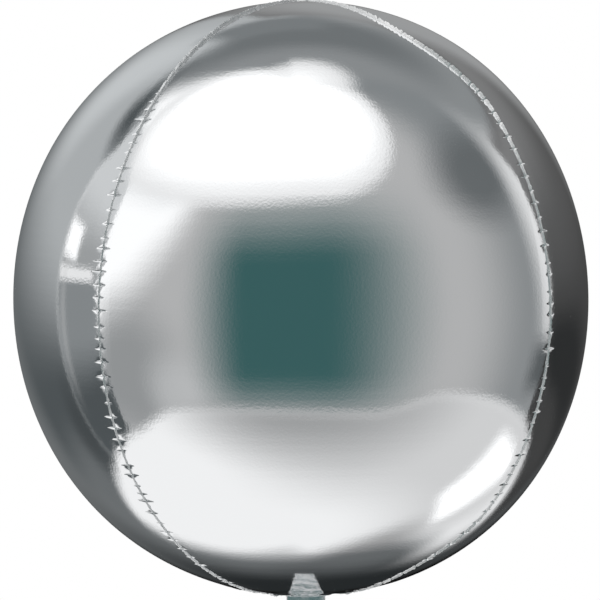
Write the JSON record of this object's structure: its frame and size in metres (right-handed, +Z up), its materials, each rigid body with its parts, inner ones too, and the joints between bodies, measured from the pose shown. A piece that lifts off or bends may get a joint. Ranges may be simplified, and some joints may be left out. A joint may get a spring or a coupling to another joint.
{
  "type": "sphere foil balloon",
  "caption": "Round gas-filled foil balloon of heat-sealed mirror-silver film gores, closed by a flat self-sealing tail.",
  "frame": {"origin": "halfway between the top crossing of the seals and the neck, where the air carries the filled envelope", "axes": "+Z up along the envelope's axis to the top crossing of the seals; the front gore faces -Y; +X to its right as seen from the front"},
  "size_m": [0.384, 0.384, 0.5161],
  "materials": {
    "gore_film": "mirror-bright vacuum-metallised nylon film, silver, taut and very slightly dimpled",
    "seal_film": "the same silver film, bonded in two layers and puckered",
    "tail_film": "the same silver film, slack and creased",
    "valve_film": "clear soft polyethylene film"
  },
  "bodies": {
    "envelope": {"gore_front": "gore_film", "gore_right": "gore_film", "gore_back": "gore_film", "gore_left": "gore_film", "seal_front_right": "seal_film", "seal_back_right": "seal_film", "seal_back_left": "seal_film", "seal_front_left": "seal_film", "top_crossing": "seal_film"},
    "tail": {"tail_front_film": "tail_film", "tail_back_film": "tail_film", "tail_left_gusset": "tail_film", "tail_right_gusset": "tail_film", "valve_front_film": "valve_film", "valve_back_film": "valve_film"}
  },
  "joints": [
    {"name": "tail_bend", "type": "hinge", "parent": "envelope", "child": "tail", "pos_m": [0, 0, -0.2049], "axis": [1, 0, 0], "range_deg": [-90, 90]}
  ]
}
